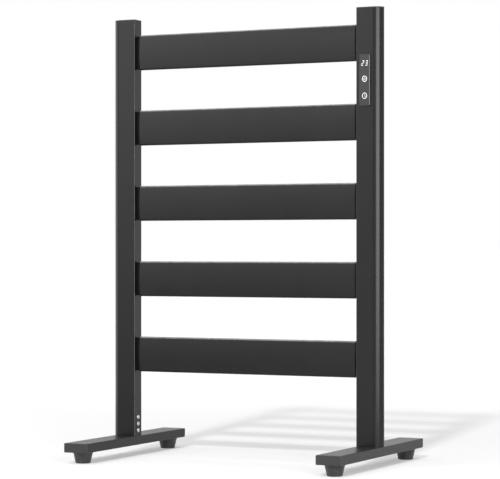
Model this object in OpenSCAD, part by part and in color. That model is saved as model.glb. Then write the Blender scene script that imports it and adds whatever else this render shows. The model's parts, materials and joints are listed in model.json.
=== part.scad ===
// Free-standing electric towel warmer: two upright posts on foot bars, joined by
// flat heated bars, with a control panel in the front of the right post.
// Millimetres. +X runs along the heated bars, +Y away from the user, +Z up.
// The origin is on the floor, midway between the posts.

/* [Frame] */
// Length of each upright post, top cap included
post_length = 885; // [850:5:1000]
// Clear width between the two posts
inside_width = 511.5; // [420:0.5:640]
// Depth of a post, front to back
post_depth = 30.2; // [27:0.2:34]
// Width of the flat part of a post's front
post_flat = 39; // [38:0.5:48]
// Wall of the post extrusion
post_wall = 1.8; // [1.4:0.1:2.4]
// How far before the seam a post's faces begin to curve
post_ease = 3.5; // [2:0.5:5]
// Radius on the two inner corners of a post
post_corner = 1; // [0.6:0.1:1.6]
// Thickness of the top cap plate
top_cap_t = 2.4; // [1.6:0.1:4]

/* [Side covers] */
// Wall of the side cover
cover_wall = 1.5; // [1:0.1:2]
// How far the side cover bulges past the seam
cover_bulge = 15.2; // [14:0.1:17]
// Radius along the outermost line of the side cover
cover_tip_r = 9; // [7:0.5:11]
// Width of the shadow line between post and side cover
seam_width = 1; // [0.4:0.1:1.2]
// Depth of that shadow line
seam_depth = 1; // [0.6:0.1:1.2]
// How far the cover's legs reach into the post
cover_leg = 5; // [4:0.5:6.5]

/* [Heated bars] */
// Number of heated bars
bar_count = 5; // [4:1:5]
// Height of a bar
bar_height = 74.4; // [60:0.2:80]
// Thickness of a bar at its middle
bar_depth = 13; // [11:0.5:18]
// Radius of a bar's top and bottom edges
bar_edge_r = 4.4; // [3:0.1:5]
// Wall of the bar extrusion
bar_wall = 1.4; // [1:0.1:1.8]
// From the top of the posts to the first bar
bar_top_gap = 33.4; // [20:0.2:60]
// From the foot of the posts to the last bar
bar_foot_gap = 137.2; // [130:0.2:200]
// Width of the dark collar between bar and post
collar_width = 6.8; // [3:0.2:10]
// How far the collar sits back from the bar's faces
collar_inset = 2; // [1:0.1:2.5]
// Length of the plug that fills a bar's end
plug_length = 22; // [16:1:40]

/* [Heating element] */
// Diameter of the heating cable
heater_d = 3.4; // [2.4:0.2:4]
// Distance between the cable's two runs
heater_spread = 20; // [14:1:26]
// Thickness of the ledges that carry the cable
ledge_t = 1.2; // [0.8:0.1:2]

/* [Foot bars] */
// Length of a foot bar, end caps included
foot_bar_length = 427; // [380:1:500]
// Width of a foot bar
foot_bar_width = 54.5; // [54:0.5:70]
// Height of a foot bar
foot_bar_height = 19.3; // [18:0.1:26]
// Wall of the foot bar tube
foot_bar_wall = 1.5; // [1.2:0.1:2.5]
// Radius on the long edges of a foot bar
foot_bar_corner = 2; // [1:0.1:3]
// Thickness of a foot bar's end cap
foot_cap_t = 3; // [2:0.5:6]

/* [Levelling feet] */
// Height of a foot when screwed fully in
foot_height = 23; // [16:0.5:32]
// Radius of a foot at its top
foot_top_r = 21; // [18:0.5:23]
// Radius of a foot where it meets the floor
foot_floor_r = 15.5; // [12:0.5:18]
// From the end of the foot bar to the middle of a foot
foot_inset = 31; // [28:1:60]
// Diameter of a foot's threaded stud
stud_d = 8; // [6:0.5:10]
// How far a foot can be screwed out
foot_travel = 8; // [4:1:9]

/* [Control panel] */
// Width of the panel frame
panel_width = 22.7; // [22.4:0.1:25]
// Height of the panel frame
panel_height = 103.5; // [96:0.5:130]
// How far the panel frame stands off the post
panel_raise = 4.5; // [3:0.1:5]
// From the post's inner face to the panel frame
panel_offset = 8.8; // [7:0.1:9.5]
// Height of the panel's middle above the midpoint of the first two bars
panel_rise = 3.1; // [0:0.1:6]
// Width of the frame's rim around the lens
panel_rim = 1.6; // [1.4:0.1:2]
// Diameter of the power and timer keys
key_d = 13.8; // [11:0.1:14.5]
// From the panel's lower end to the middle of the timer key
timer_key_rise = 19.95; // [17:0.05:26]
// From the timer key to the power key
key_pitch = 34; // [28:0.2:36]
// Travel of a key
key_travel = 0.5; // [0.3:0.05:0.8]
// From the panel's upper end to the middle of the display
display_drop = 17.95; // [14:0.05:22]
// Height of a digit
digit_height = 10.6; // [9:0.2:12.6]
// Width of a digit
digit_width = 5; // [4.6:0.1:5.6]

/* [Mains entry] */
// From the mains block inside the post down to the middle of the gland
gland_drop = 17; // [13:1:24]
// Diameter of the hole that the mains cord passes
gland_bore = 7.2; // [5:0.1:8]

/* [Fasteners] */
// Shank diameter of the screws at the foot of each post
base_screw_d = 5; // [4:0.5:6]
// Height of the lowest of those screws above the post's foot
base_screw_first = 12; // [10:1:16]
// Distance from one of those screws to the next
base_screw_pitch = 14; // [12:1:16]
// Shank diameter of the screws that hold the bars
bar_screw_d = 4; // [3:0.5:5]
// Distance between the two screws of one bar end
bar_screw_span = 46; // [40:1:50]
// Shank diameter of the bolts in the foot bars
base_bolt_d = 6; // [5:0.5:8]

/* [Hidden] */
$fn = 64;

// Clearances, each named for the pair that it separates
slide_fit = 0.15;   // plugs in tubes, cover legs behind lips
screw_fit = 0.05;   // screw shanks in their tapped holes, studs in their feet
hole_fit = 0.2;     // screw shanks in plain holes
key_fit = 0.25;     // keys in the lens
bore_fit = 0.08;    // studs in their nuts
rest_gap = 0.3;     // cable on its ledges
eps = 0.01;         // overshoot of a cut

// Side of the part: the right post carries the controls
RIGHT = 1;
LEFT = -1;

// Levels
base_z = foot_height + foot_bar_height;
post_top = base_z + post_length;
extrusion_length = post_length - top_cap_t;

// Post section, measured outwards from its inner face
post_x = inside_width / 2;
post_width = post_flat + cover_bulge;
post_mid_x = post_x + post_width / 2;
half_depth = post_depth / 2;
nose_x = post_x + post_flat - post_ease;
nose_reach = post_ease + cover_bulge;
cavity_half = half_depth - post_wall;
lip_depth = 1.6;
lip_width = 1.8;

// Bars
collar_length = collar_width;
bar_length = inside_width - 2 * collar_length;
first_bar_z = post_top - bar_top_gap - bar_height / 2;
bar_pitch = (post_length - bar_top_gap - bar_foot_gap - bar_height) / (bar_count - 1);
function bar_z(i) = first_bar_z - (i - 1) * bar_pitch;
// Radius of a bar's face, for a lens of this thickness, height and edge radius
function face_r(t, h, e) = (pow(h / 2 - e, 2) / (t / 2 - e) + e + t / 2) / 2;
plug_depth = bar_depth - 2 * bar_wall - 2 * slide_fit;
plug_height = bar_height - 2 * bar_wall - 2 * slide_fit;
plug_edge_r = bar_edge_r - bar_wall - slide_fit / 2;
turn_r = heater_spread / 2;
turn_x = -bar_length / 2 + plug_length + 4 + turn_r + heater_d / 2;
lead_hole_r = heater_d / 2 + hole_fit;
lead_reach = 5;

// Control panel
panel_x = post_x + panel_offset + panel_width / 2;
panel_mid_z = (bar_z(1) + bar_z(2)) / 2 + panel_rise;
post_front = -half_depth;
panel_front = post_front - panel_raise;
lens_t = 1;
lens_recess = 0.1;
lens_front = panel_front + lens_recess;
lens_back = lens_front + lens_t;
lens_w = panel_width - 2 * panel_rim - 2 * slide_fit;
lens_h = panel_height - 2 * panel_rim - 2 * slide_fit;
spigot_in = 1.6;
spigot_w = panel_width - 2 * spigot_in;
spigot_h = panel_height - 2 * spigot_in;
spigot_wall = 1;
board_front = post_front + 4.1;
board_t = 1.6;
board_back = board_front + board_t;
board_w = spigot_w + 4;
board_h = spigot_h - 3;
timer_z = panel_mid_z - panel_height / 2 + timer_key_rise;
power_z = timer_z + key_pitch;
display_z = panel_mid_z + panel_height / 2 - display_drop;
digit_gap = 2.8;
digit_slant = 8;
digit_stroke = 1.1;
segment_t = 0.3;
display_w = 2 * digit_width + digit_gap + 1.2;
display_h = digit_height + 2.4;
key_r = key_d / 2;
key_flange_t = 0.8;
key_flange_r = spigot_w / 2 - spigot_wall - key_fit;
key_proud = 0.15;
stem_r = 2;
stem_length = 1.4;
boss_r = 2.1;
boss_drop = 4;
board_screw_r = 1;

// Wiring in the right post, measured outwards from its inner face
lead_r = heater_d / 2;
wire_r = 1.2;
live_bus_u = 9;
neutral_bus_u = 15;
feed_live_u = 21;
feed_neutral_u = 25;
bus_y = cavity_half - wire_r - rest_gap;
terminal_inset = 18.65;
terminal_z = panel_mid_z - board_h / 2 + terminal_inset;
capacitor_z = terminal_z + 26;
relay_z = terminal_z + 38;
terminal_w = 26;
terminal_h = 12;
terminal_d = 9;
relay_w = 15;
relay_h = 19;
relay_d = 11;
capacitor_r = 4;
capacitor_d = 12;
earth_drop = 14.4;
earth_z = bar_z(bar_count) - bar_screw_span / 2 - earth_drop;
earth_screw_r = 2;
earth_ring_r = 4.6;
earth_ring_t = 1;
mains_block_w = 18;
mains_block_h = 14;
mains_block_d = 12;
mains_block_u = 20;
mains_block_top = earth_z - 10;
gland_z = mains_block_top - mains_block_h - gland_drop;
cutout_r = 7;
cutout_t = 5;
gland_r = gland_bore / 2 + 2.2;
gland_flange_r = gland_r + 2.6;
gland_flange_t = 2.6;
gland_nut_t = 3;
gland_u = 18;

// Foot of a post
base_block_h = base_screw_first + 2 * base_screw_pitch + 8;
base_block_w = post_flat - post_wall - lip_width - cover_leg - 1;
base_block_d = 2 * (cavity_half - slide_fit);
base_screw_count = 3;
pan_head_h = 2.4;
bolt_head_r = base_bolt_d * 0.83;
bolt_head_h = 5;
bolt_access_r = bolt_head_r + 0.6;
base_bolt_y = bolt_access_r + 0.9;
foot_y = foot_bar_length / 2 - foot_inset;
nut_h = 7;
nut_r = stud_d / 2 + 3;
stud_top = base_z - foot_bar_wall - 2;

// Feet: name, side of the part, front (-1) or rear (1)
foot_names = ["left_front", "left_rear", "right_front", "right_rear"];
foot_sides = [LEFT, LEFT, RIGHT, RIGHT];
foot_ends = [-1, 1, -1, 1];

/* ---- placing ---- */

// Geometry is written for the right side and mirrored to the left
module on_side(side) {
  if (side == LEFT) mirror([1, 0, 0]) children();
  else children();
}

// A profile drawn in Y and Z, extruded along +X from x
module along_x(x, length) {
  translate([x, 0, 0]) rotate([90, 0, 90]) linear_extrude(length) children();
}

// A profile drawn in X and Z, extruded along +Y from y
module along_y(y, length) {
  translate([0, y + length, 0]) rotate([90, 0, 0]) linear_extrude(length) children();
}

module rod_x(x, y, z, r, length) {
  translate([x, y, z]) rotate([0, 90, 0]) cylinder(r = r, h = length);
}

module rod_y(x, y, z, r, length) {
  translate([x, y, z]) rotate([-90, 0, 0]) cylinder(r = r, h = length);
}

module rod_z(x, y, z, r, length) {
  translate([x, y, z]) cylinder(r = r, h = length);
}

// Rounded rectangle centred on the origin
module rounded(w, h, r) {
  square([w - 2 * r, h], center = true);
  square([w, h - 2 * r], center = true);
  for (x = [-1, 1], y = [-1, 1]) translate([x * (w / 2 - r), y * (h / 2 - r)]) circle(r);
}

/* ---- posts, covers and caps ---- */

// Rounded outer end of a post with its cover, drawn in by inset: the flat faces run into wide
// arcs, and these into a tighter one at the tip
module nose(inset) {
  translate([nose_x, 0]) rotate(90)
    lens_profile(post_depth - 2 * inset, 2 * (nose_reach - inset), cover_tip_r - inset);
}

// Flat part of the outline, drawn in by inset, with its inner corners rounded
module flat_outline(inset) {
  r = max(post_corner - inset, 0.2);
  x = post_x + inset;
  y = half_depth - inset;
  translate([x + r, -y]) square([nose_x - x - r, 2 * y]);
  translate([x, -y + r]) square([nose_x - x, 2 * (y - r)]);
  for (s = [-1, 1]) translate([x + r, s * (y - r)]) circle(r);
}

// Outline of the post extrusion, up to the seam
module post_outline() {
  flat_outline(0);
  intersection() {
    nose(0);
    translate([nose_x, -half_depth - 1]) square([post_ease, post_depth + 2]);
  }
}

// Open channel with a lip on the end of each long wall
module post_profile() {
  difference() {
    post_outline();
    translate([post_x + post_wall, -cavity_half]) square([post_flat, 2 * cavity_half]);
  }
  for (y = [-1, 1]) translate([post_x + post_flat - lip_width / 2, y * (cavity_half - lip_depth / 2)])
    square([lip_width, lip_depth + eps], center = true);
}

// Rounded cover with two hooked legs that snap behind the channel's lips
module cover_profile() {
  leg_y = cavity_half - lip_depth - slide_fit;
  leg_t = 1.4;
  web_y = half_depth - seam_depth - 0.2;
  x = post_x + post_flat;
  difference() {
    nose(0);
    nose(cover_wall);
    translate([x - 2 * nose_reach, -half_depth - 1]) square([2 * nose_reach, post_depth + 2]);
    for (y = [-1, 1]) translate([x + seam_width / 2, y * (half_depth - seam_depth / 2 + eps)])
      square([seam_width + 2 * eps, seam_depth + 2 * eps], center = true);
  }
  for (y = [-1, 1]) {
    translate([x - cover_leg, y * (leg_y - leg_t / 2) - leg_t / 2]) square([cover_leg + cover_wall, leg_t]);
    translate([x + cover_wall / 2, y * (web_y + leg_y - leg_t) / 2])
      square([cover_wall, web_y - leg_y + leg_t], center = true);
    translate([x - cover_leg + 0.7, y * (leg_y + lip_depth / 2 - slide_fit)])
      square([1.4, lip_depth], center = true);
  }
}

// Screw holes for every bar end, through the wall between two x positions
module bar_screw_holes(x, length, r) {
  for (i = [1 : bar_count], z = [-1, 1])
    rod_x(x, 0, bar_z(i) + z * bar_screw_span / 2, r, length);
}

module lead_holes(x, length) {
  for (i = [1 : bar_count], z = [-1, 1])
    rod_x(x, 0, bar_z(i) + z * heater_spread / 2, lead_hole_r, length);
}

module base_screw_holes(x, length, r) {
  for (k = [0 : base_screw_count - 1])
    rod_x(x, 0, base_z + base_screw_first + k * base_screw_pitch, r, length);
}

module post_blank() {
  difference() {
    translate([0, 0, base_z]) linear_extrude(extrusion_length) post_profile();
    bar_screw_holes(post_x - 1, post_wall + 2, bar_screw_d / 2 + hole_fit);
    base_screw_holes(post_x - 1, post_wall + 2, base_screw_d / 2 + hole_fit);
  }
}

module left_post() {
  color("#2b2c2e") on_side(LEFT) post_blank();
}

module right_post() {
  color("#2b2c2e") difference() {
    post_blank();
    lead_holes(post_x - 1, post_wall + 2);
    translate([panel_x, 0, panel_mid_z]) along_y(post_front - 1, post_wall + 2)
      square([spigot_w + 2 * slide_fit, spigot_h + 2 * slide_fit], center = true);
    rod_y(post_x + gland_u, cavity_half - 1, gland_z, gland_r + slide_fit, post_wall + 2);
    rod_x(post_x - 1, 0, earth_z, earth_screw_r + hole_fit, post_wall + 2);
  }
}

module side_cover(side) {
  color("#2b2c2e") on_side(side) translate([0, 0, base_z]) linear_extrude(extrusion_length) cover_profile();
}

// Flat D-shaped plate with a stepped edge and a ring that plugs the channel
module top_cap(side) {
  step = 0.4;
  ring_w = post_flat - post_wall - lip_width - cover_leg - slide_fit;
  ring_d = 2 * (cavity_half - slide_fit);
  ring_wall = 1.6;
  ring_drop = 8;
  color("#242527") on_side(side) difference() {
    union() {
      translate([0, 0, post_top - top_cap_t]) linear_extrude(top_cap_t - step) cap_outline(0);
      translate([0, 0, post_top - step - eps]) linear_extrude(step + eps) cap_outline(step);
      translate([post_x + post_wall + slide_fit, -ring_d / 2, post_top - top_cap_t - ring_drop])
        cube([ring_w, ring_d, ring_drop + eps]);
    }
    translate([
      post_x + post_wall + slide_fit + ring_wall,
      -ring_d / 2 + ring_wall,
      post_top - top_cap_t - ring_drop - 1
    ])
      cube([ring_w - 2 * ring_wall, ring_d - 2 * ring_wall, ring_drop + 1]);
  }
}

// Outline of post and cover together, drawn in by inset
module cap_outline(inset) {
  flat_outline(inset);
  intersection() {
    nose(inset);
    translate([nose_x, -half_depth]) square([nose_reach + 1, post_depth]);
  }
}

/* ---- heated bars ---- */

// Lens-shaped section in Y and Z: two wide arcs, joined by a small round at each edge
module lens_profile(t, h, e) {
  R = face_r(t, h, e);
  tip = h / 2 - e;
  tangent = tip * R / (R - e);
  intersection() {
    translate([R - t / 2, 0]) circle(R, $fn = 360);
    translate([t / 2 - R, 0]) circle(R, $fn = 360);
    square([t, 2 * tangent], center = true);
  }
  for (s = [-1, 1]) translate([0, s * tip]) circle(e);
}

module bar_section() {
  difference() {
    lens_profile(bar_depth, bar_height, bar_edge_r);
    lens_profile(bar_depth - 2 * bar_wall, bar_height - 2 * bar_wall, bar_edge_r - bar_wall);
  }
}

// Shell of one bar, with the two ledges that the heating cable lies on
module heated_bar(i) {
  ledge_end = bar_length / 2 - plug_length - 2;
  ledge_y = bar_depth / 2 - bar_wall;
  color("#2b2c2e") translate([0, 0, bar_z(i)]) {
    along_x(-bar_length / 2, bar_length) bar_section();
    for (z = [-1, 1]) along_x(turn_x, ledge_end - turn_x) intersection() {
      translate([ledge_y / 2, z * heater_spread / 2 - heater_d / 2 - rest_gap - ledge_t / 2])
        square([ledge_y + 2 * eps + heater_d, ledge_t], center = true);
      lens_profile(bar_depth - bar_wall, bar_height - bar_wall, bar_edge_r - bar_wall / 2);
    }
  }
}

// One loop of heating cable: two runs, a half turn, and leads into the right post
module heating_cable(i) {
  run_end = post_x + lead_reach;
  color("#8a2d22") translate([0, 0, bar_z(i)]) {
    for (z = [-1, 1]) rod_x(turn_x, 0, z * turn_r, lead_r, run_end - turn_x);
    translate([turn_x, 0, 0]) rotate([90, 0, 0]) rotate([0, 0, 90]) rotate_extrude(angle = 180)
      translate([turn_r, 0]) circle(lead_r);
  }
}

module collars(side) {
  color("#0e0e0f") on_side(side) difference() {
    for (i = [1 : bar_count]) translate([0, 0, bar_z(i)]) along_x(bar_length / 2, collar_length)
      lens_profile(bar_depth - 2 * collar_inset, bar_height - 2 * collar_inset, bar_edge_r - collar_inset);
    bar_screw_holes(bar_length / 2 - 1, collar_length + 2, bar_screw_d / 2 + hole_fit);
    if (side == RIGHT) lead_holes(bar_length / 2 - 1, collar_length + 2);
  }
}

module bar_plugs(side) {
  color("#8f9194") on_side(side) difference() {
    for (i = [1 : bar_count]) translate([0, 0, bar_z(i)]) along_x(bar_length / 2 - plug_length, plug_length)
      lens_profile(plug_depth, plug_height, plug_edge_r);
    bar_screw_holes(bar_length / 2 - plug_length - 1, plug_length + 2, bar_screw_d / 2 + screw_fit);
    if (side == RIGHT) lead_holes(bar_length / 2 - plug_length - 1, plug_length + 2);
  }
}

// Cross-head screw along +X, its head bearing on the plane at x and facing -X
module pan_screw(x, z, d, length, head_h) {
  head_r = 0.85 * d;
  difference() {
    union() {
      rod_x(x, 0, z, d / 2, length);
      rod_x(x - 0.6 * head_h, 0, z, head_r, 0.6 * head_h);
      translate([x - head_h, 0, z]) rotate([0, 90, 0])
        cylinder(r1 = 0.72 * head_r, r2 = head_r, h = 0.4 * head_h + eps);
    }
    for (a = [0, 90]) translate([x - head_h, 0, z]) rotate([a, 0, 0])
      cube([head_h, 0.22 * d, 0.9 * d], center = true);
  }
}

module bar_screws() {
  grip = collar_length + post_wall + 0.7 * plug_length;
  color("#b9bbbd") for (side = [LEFT, RIGHT]) on_side(side)
    for (i = [1 : bar_count], z = [-1, 1])
      translate([2 * (post_x + post_wall), 0, 0]) mirror([1, 0, 0])
        pan_screw(post_x + post_wall, bar_z(i) + z * bar_screw_span / 2, bar_screw_d, grip, 2);
}

/* ---- foot bars and feet ---- */

module foot_bar(side) {
  wall = foot_bar_wall;
  length = foot_bar_length - 2 * foot_cap_t;
  color("#2b2c2e") on_side(side) difference() {
    translate([post_mid_x, 0, base_z - foot_bar_height / 2]) along_y(-length / 2, length) difference() {
      rounded(foot_bar_width, foot_bar_height, foot_bar_corner);
      rounded(foot_bar_width - 2 * wall, foot_bar_height - 2 * wall, max(foot_bar_corner - wall, 0.4));
    }
    for (s = [-1, 1]) {
      rod_z(post_mid_x, s * foot_y, foot_height - 1, stud_d / 2 + hole_fit, wall + 2);
      rod_z(base_bolt_x(), s * base_bolt_y, base_z - wall - 1, base_bolt_d / 2 + hole_fit, wall + 2);
      rod_z(base_bolt_x(), s * base_bolt_y, foot_height - 1, bolt_access_r, wall + 2);
    }
  }
}

function base_bolt_x() = post_x + post_wall + base_block_w / 2;

// Two end caps of one foot bar, each with a ring that plugs the tube
module foot_bar_caps(side) {
  wall = foot_bar_wall;
  step = 0.5;
  plug_drop = 9;
  plug_w = foot_bar_width - 2 * wall - 2 * slide_fit;
  plug_h = foot_bar_height - 2 * wall - 2 * slide_fit;
  plug_t = 1.6;
  color("#242527") on_side(side) for (s = [0, 1]) mirror([0, s, 0])
    translate([post_mid_x, foot_bar_length / 2 - foot_cap_t, base_z - foot_bar_height / 2]) difference() {
      union() {
        along_y(0, foot_cap_t - step) rounded(foot_bar_width, foot_bar_height, foot_bar_corner);
        along_y(foot_cap_t - step - eps, step + eps)
          rounded(foot_bar_width - 2 * step, foot_bar_height - 2 * step, foot_bar_corner);
        along_y(-plug_drop, plug_drop + eps) rounded(plug_w, plug_h, 0.6);
      }
      along_y(-plug_drop - 1, plug_drop + 1)
        square([plug_w - 2 * plug_t, plug_h - 2 * plug_t], center = true);
    }
}

// Tapered rubber foot with a thin collar under the bar and a chamfered tread
module foot(k) {
  collar_t = 2;
  chamfer = 1.2;
  color("#2f2f30") on_side(foot_sides[k]) translate([post_mid_x, foot_ends[k] * foot_y, 0]) difference() {
    rotate_extrude() polygon([
      [0, 0], [foot_floor_r - chamfer, 0], [foot_floor_r, chamfer],
      [foot_top_r - 0.8, foot_height - collar_t], [foot_top_r, foot_height - collar_t],
      [foot_top_r, foot_height], [0, foot_height]
    ]);
    translate([0, 0, stud_root() - eps]) cylinder(r = stud_d / 2 + screw_fit, h = foot_height);
  }
}

function stud_root() = foot_height * 0.35;

module stud(k) {
  color("#b9bbbd") on_side(foot_sides[k])
    rod_z(post_mid_x, foot_ends[k] * foot_y, stud_root(), stud_d / 2, stud_top - stud_root());
}

// Hexagon nuts fixed inside the foot bars, one over each foot
module stud_nuts() {
  color("#9a9c9f") for (side = [LEFT, RIGHT], s = [-1, 1]) on_side(side)
    translate([post_mid_x, s * foot_y, foot_height + foot_bar_wall]) difference() {
      cylinder(r = nut_r, h = nut_h, $fn = 6);
      translate([0, 0, -1]) cylinder(r = stud_d / 2 + bore_fit, h = nut_h + 2);
    }
}

// Steel block inside the foot of a post, tapped for the screws and the bolts
module base_block(side) {
  color("#7d7f82") on_side(side) difference() {
    translate([post_x + post_wall, -base_block_d / 2, base_z])
      cube([base_block_w, base_block_d, base_block_h]);
    base_screw_holes(post_x, base_block_w * 0.8, base_screw_d / 2 + screw_fit);
    for (s = [-1, 1])
      rod_z(base_bolt_x(), s * base_bolt_y, base_z - 1, base_bolt_d / 2 + screw_fit, base_bolt_reach() + 2);
  }
}

// The bolts end below the lowest screw
function base_bolt_reach() = base_screw_first - base_screw_d / 2 - 1.5;

module base_screws() {
  color("#c9cbcd") for (side = [LEFT, RIGHT]) on_side(side) for (k = [0 : base_screw_count - 1])
    let(screw_z = base_z + base_screw_first + k * base_screw_pitch)
      pan_screw(post_x, screw_z, base_screw_d, base_block_w * 0.6, pan_head_h);
}

module base_bolts() {
  seat = base_z - foot_bar_wall;
  color("#9a9c9f") for (side = [LEFT, RIGHT], s = [-1, 1]) on_side(side)
    translate([base_bolt_x(), s * base_bolt_y, 0]) difference() {
      union() {
        translate([0, 0, seat]) cylinder(r = base_bolt_d / 2, h = foot_bar_wall + base_bolt_reach());
        translate([0, 0, seat - bolt_head_h]) cylinder(r = bolt_head_r, h = bolt_head_h);
      }
      translate([0, 0, seat - bolt_head_h - 1])
        cylinder(r = base_bolt_d * 0.48, h = 0.6 * bolt_head_h + 1, $fn = 6);
    }
}

/* ---- control panel ---- */

// Moves the origin to the panel's middle, in X and Z
module at_panel() {
  translate([panel_x, 0, panel_mid_z]) children();
}

// Raised rim, a floor behind the lens, and a box that plugs the post's window
module panel_frame() {
  bevel_w = panel_rim - 0.5;
  bevel_h = 0.75;
  hook = 0.8;
  root = 0.4;
  color("#1b1c1e") {
    difference() {
      at_panel() {
        along_y(panel_front + bevel_h, panel_raise - bevel_h) rounded(panel_width, panel_height, 1.8);
        along_y(panel_front, 2 * bevel_h)
          rounded(panel_width - 2 * bevel_w, panel_height - 2 * bevel_w, 1.2);
        along_y(post_front - root, board_front - post_front + root)
          square([spigot_w, spigot_h], center = true);
        along_y(post_front + post_wall + slide_fit, 1.2)
          square([spigot_w / 2, spigot_h + 2 * hook], center = true);
      }
      at_panel() along_y(post_front, board_front - post_front + 1)
        square([spigot_w - 2 * spigot_wall, spigot_h - 2 * spigot_wall], center = true);
      at_panel() along_y(panel_front - 1, lens_back - panel_front + 1)
        rounded(lens_w + 2 * slide_fit, lens_h + 2 * slide_fit, 0.8);
      for (z = [power_z, timer_z]) rod_y(panel_x, panel_front - 1, z, key_r + key_fit, panel_raise + 2);
      translate([panel_x, 0, display_z]) along_y(panel_front - 1, panel_raise + 2)
        square([display_w + 2 * slide_fit, display_h + 2 * slide_fit], center = true);
    }
    at_panel() for (s = [-1, 1]) translate([0, 0, s * (spigot_h / 2 - boss_drop)]) difference() {
      rod_y(0, post_front - root / 2, 0, boss_r, board_front - post_front + root / 2);
      rod_y(0, post_front + 0.6, 0, board_screw_r + screw_fit, board_front - post_front);
    }
  }
}

// Glossy dark lens with holes for the keys and a window for the display
module panel_lens() {
  color("#0b0c0e") difference() {
    at_panel() along_y(lens_front, lens_t) rounded(lens_w, lens_h, 0.8);
    for (z = [power_z, timer_z]) rod_y(panel_x, lens_front - 1, z, key_r + key_fit, lens_t + 2);
    translate([panel_x, 0, display_z]) along_y(lens_front - 1, lens_t + 2)
      square([display_w + 2 * slide_fit, display_h + 2 * slide_fit], center = true);
  }
}

// Display body, from the board to just behind the face of the lens
module display_module() {
  face = lens_front + segment_t + 0.05;
  color("#101113") translate([panel_x, 0, display_z]) along_y(face, board_front - face)
    square([display_w, display_h], center = true);
}

// Seven-segment strokes, lit for each digit: top, upper right, lower right,
// bottom, lower left, upper left, middle
lit = [
  [1, 1, 0, 1, 1, 0, 1],
  [1, 1, 1, 1, 0, 0, 1]
];

// One stroke of a digit, centred on (x, z) and leaning with it
module stroke(x, z, w, h) {
  polygon([for (c = [[-1, -1], [1, -1], [1, 1], [-1, 1]]) let (top = z + c[1] * h / 2)
    [x + c[0] * w / 2 + top * tan(digit_slant), top]]);
}

module segments(on) {
  s = digit_stroke;
  w = digit_width;
  h = digit_height;
  gap = 0.2;
  for (k = [[0, 1], [3, -1], [6, 0]])
    if (on[k[0]] == 1) stroke(0, k[1] * (h - s) / 2, w - 2 * s - gap, s);
  for (k = [[1, 1, 1], [2, 1, -1], [4, -1, -1], [5, -1, 1]])
    if (on[k[0]] == 1) stroke(k[1] * (w - s) / 2, k[2] * h / 4, s, h / 2 - s / 2 - gap);
}

module display_digits() {
  color("#f4f6ff") for (d = [0, 1])
    translate([panel_x + (d - 0.5) * (digit_width + digit_gap), 0, display_z])
      along_y(lens_front + 0.05, segment_t) segments(lit[d]);
}

// Key cap, a flange behind the frame's floor, and a stem to the switch
module key(z) {
  cap_front = lens_front - key_proud;
  flange_front = post_front + 0.05;
  color("#0f1012") {
    rod_y(panel_x, cap_front, z, key_r, flange_front - cap_front + eps);
    rod_y(panel_x, flange_front, z, key_flange_r, key_flange_t);
    rod_y(panel_x, flange_front + key_flange_t - eps, z, stem_r, stem_length + eps);
  }
}

function stem_end() = post_front + 0.05 + key_flange_t + stem_length;
function plunger_front() = stem_end() + key_travel + 0.05;

// Silicone sheet on the board, with a ring under each key that pushes it back
module key_spring_pad() {
  sheet_t = 0.5;
  ring_front = post_front + 0.05 + key_flange_t + key_travel + 0.15;
  color("#9c9c9c") difference() {
    union() {
      translate([panel_x, 0, (power_z + timer_z) / 2]) along_y(board_front - sheet_t, sheet_t)
        square([spigot_w - 2 * spigot_wall - 0.4, power_z - timer_z + 14], center = true);
      for (z = [power_z, timer_z]) rod_y(panel_x, ring_front, z, 5.4, board_front - ring_front);
    }
    for (z = [power_z, timer_z]) rod_y(panel_x, ring_front - 1, z, 3.9, board_front - ring_front + 2);
  }
}

module tact_switches() {
  body_t = board_front - plunger_front() - 0.25;
  color("#3a3b3d") for (z = [power_z, timer_z]) {
    translate([panel_x, board_front - body_t / 2, z]) cube([5, body_t, 5], center = true);
    rod_y(panel_x, plunger_front(), z, 1.6, board_front - plunger_front());
  }
}

module control_board() {
  color("#1f5a34") difference() {
    at_panel() along_y(board_front, board_t) square([board_w, board_h], center = true);
    at_panel() for (s = [-1, 1])
      rod_y(0, board_front - 1, s * (spigot_h / 2 - boss_drop), board_screw_r + hole_fit, board_t + 2);
  }
}

module board_screws() {
  color("#c9cbcd") at_panel() for (s = [-1, 1]) translate([0, 0, s * (spigot_h / 2 - boss_drop)]) {
    rod_y(0, board_back, 0, 1.9 * board_screw_r, 1.2);
    rod_y(0, post_front + 1, 0, board_screw_r, board_back - post_front);
  }
}

module relay() {
  color("#2c4f8f")
    translate([panel_x - relay_w / 2, board_back, relay_z]) cube([relay_w, relay_d, relay_h]);
}

module capacitor() {
  color("#30343a") rod_y(panel_x, board_back, capacitor_z, capacitor_r, capacitor_d);
}

// Screw terminal block on the back of the board
module terminal_block() {
  color("#2f7d4b") translate([panel_x - terminal_w / 2, board_back, terminal_z - terminal_h / 2])
    cube([terminal_w, terminal_d, terminal_h]);
}

/* ---- wiring ---- */

// An eight-sided wire from one point to the next, with a square joint at each corner;
// each leg runs along an axis
module wire(points, r) {
  $fn = 8;
  for (k = [0 : len(points) - 2]) leg(points[k], points[k + 1], r);
  for (k = [1 : len(points) - 2]) translate(points[k]) cube(2 * r, center = true);
}

module leg(a, b, r) {
  low = [min(a[0], b[0]), min(a[1], b[1]), min(a[2], b[2])];
  d = [abs(b[0] - a[0]), abs(b[1] - a[1]), abs(b[2] - a[2])];
  if (d[0] > 0) rod_x(low[0], low[1], low[2], r, d[0]);
  else if (d[1] > 0) rod_y(low[0], low[1], low[2], r, d[1]);
  else rod_z(low[0], low[1], low[2], r, d[2]);
}

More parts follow.
